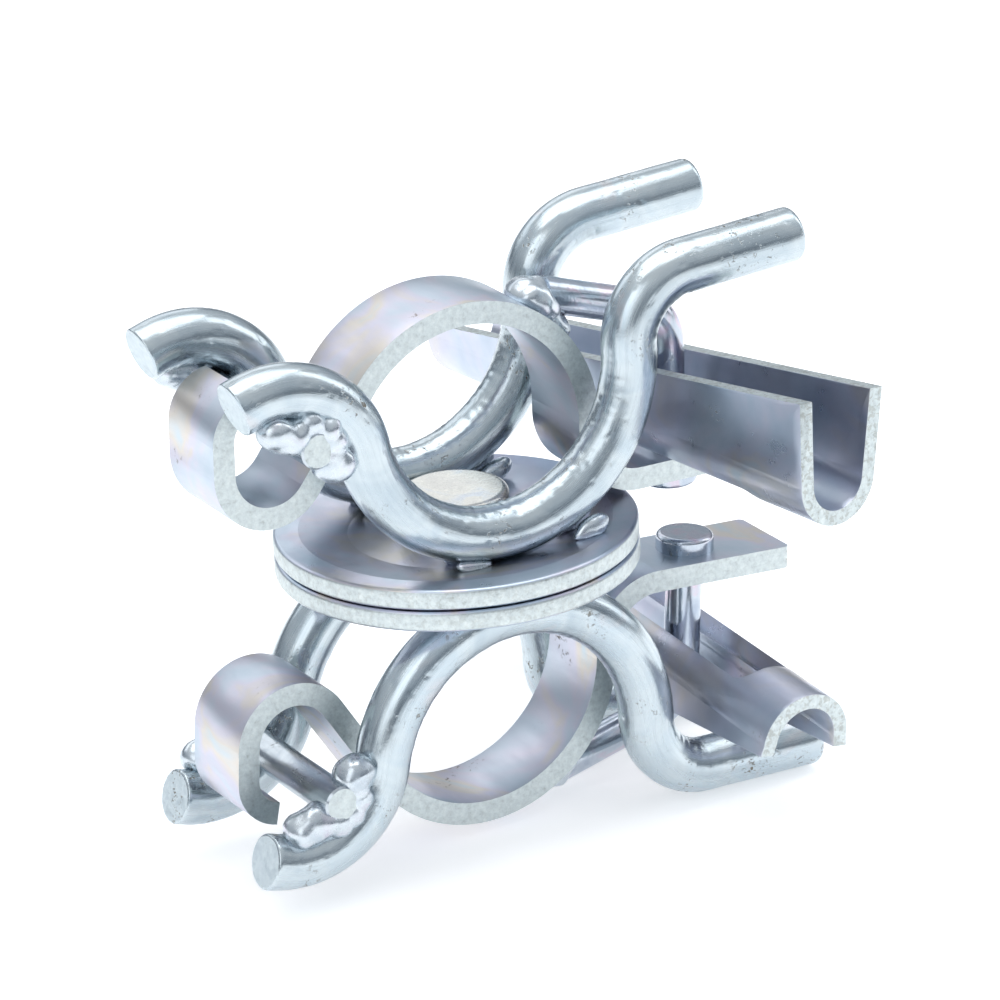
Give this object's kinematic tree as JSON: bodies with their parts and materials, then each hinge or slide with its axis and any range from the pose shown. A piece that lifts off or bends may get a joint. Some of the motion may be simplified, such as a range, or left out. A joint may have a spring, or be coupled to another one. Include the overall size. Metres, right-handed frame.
{
  "type": "swivel wedge scaffold coupler",
  "caption": "Swivel coupler for scaffold tube: back-to-back bent-bar cradles on a riveted plate pair, each with a hooked strap drawn down by a slotted channel wedge.",
  "frame": {"origin": "centre of the lower tube seat, on the swivel axis", "axes": "+Z along the swivel axis through the upper half, +X along the bars from hinge pin to wedge, +Y along the tube held by the upper half"},
  "size_m": [0.1274, 0.1294, 0.1172],
  "materials": {
    "bar_zinc": "bright zinc plate on drawn round bar, glossy, fine pits along the bends",
    "plate_zinc": "bright zinc plate on pressed disc, faint lilac and straw tint, matt blanked edge",
    "weld_zinc": "zinc plate over weld metal, lumpy and shiny",
    "pin_zinc": "bright zinc plate on drawn pin, sawn ends",
    "strap_zinc": "bright zinc plate on flat bar, satin faces with a faint tint, matt sheared edges",
    "rod_zinc": "bright zinc plate on drawn rod with a forged head",
    "wedge_zinc": "bright zinc plate on pressed channel, bluish, matt sheared edges with dark specks",
    "rivet_zinc": "bright zinc plate on the pressed rivet head, smooth with faint scratches"
  },
  "bodies": {
    "lower_frame": {"lower_near_bar": "bar_zinc", "lower_far_bar": "bar_zinc", "lower_plate": "plate_zinc", "lower_plate_welds": "weld_zinc", "lower_hinge_pin": "pin_zinc", "lower_pin_welds": "weld_zinc", "swivel_rivet": "rivet_zinc"},
    "upper_frame": {"upper_near_bar": "bar_zinc", "upper_far_bar": "bar_zinc", "upper_plate": "plate_zinc", "upper_plate_welds": "weld_zinc", "upper_hinge_pin": "pin_zinc", "upper_pin_welds": "weld_zinc"},
    "upper_strap_body": {"upper_strap": "strap_zinc", "upper_guide_rod": "rod_zinc", "upper_rod_weld": "weld_zinc"},
    "lower_strap_body": {"lower_strap": "strap_zinc", "lower_guide_rod": "rod_zinc", "lower_rod_weld": "weld_zinc"},
    "upper_wedge_body": {"upper_wedge": "wedge_zinc"},
    "lower_wedge_body": {"lower_wedge": "wedge_zinc"}
  },
  "joints": [
    {"name": "swivel", "type": "hinge", "parent": "lower_frame", "child": "upper_frame", "pos_m": [0, 0, 0.038], "axis": [0, 0, 1], "continuous": true},
    {"name": "upper_strap_hinge", "type": "hinge", "parent": "upper_frame", "child": "upper_strap_body", "pos_m": [-0.0411, 0, 0.07402], "axis": [0, -1, 0], "range_deg": [0, 8]},
    {"name": "lower_strap_hinge", "type": "hinge", "parent": "lower_frame", "child": "lower_strap_body", "pos_m": [-0.0411, 0, 0.00198], "axis": [0, -1, 0], "range_deg": [0, 5]},
    {"name": "upper_wedge_slide", "type": "slide", "parent": "upper_strap_body", "child": "upper_wedge_body", "axis": [0.1219, -0.9925, 0], "range_m": [-0.022, 0.037]},
    {"name": "lower_wedge_slide", "type": "slide", "parent": "lower_strap_body", "child": "lower_wedge_body", "axis": [-0.0477, 0.9985, -0.0258], "range_m": [-0.05, 0.0225]}
  ]
}
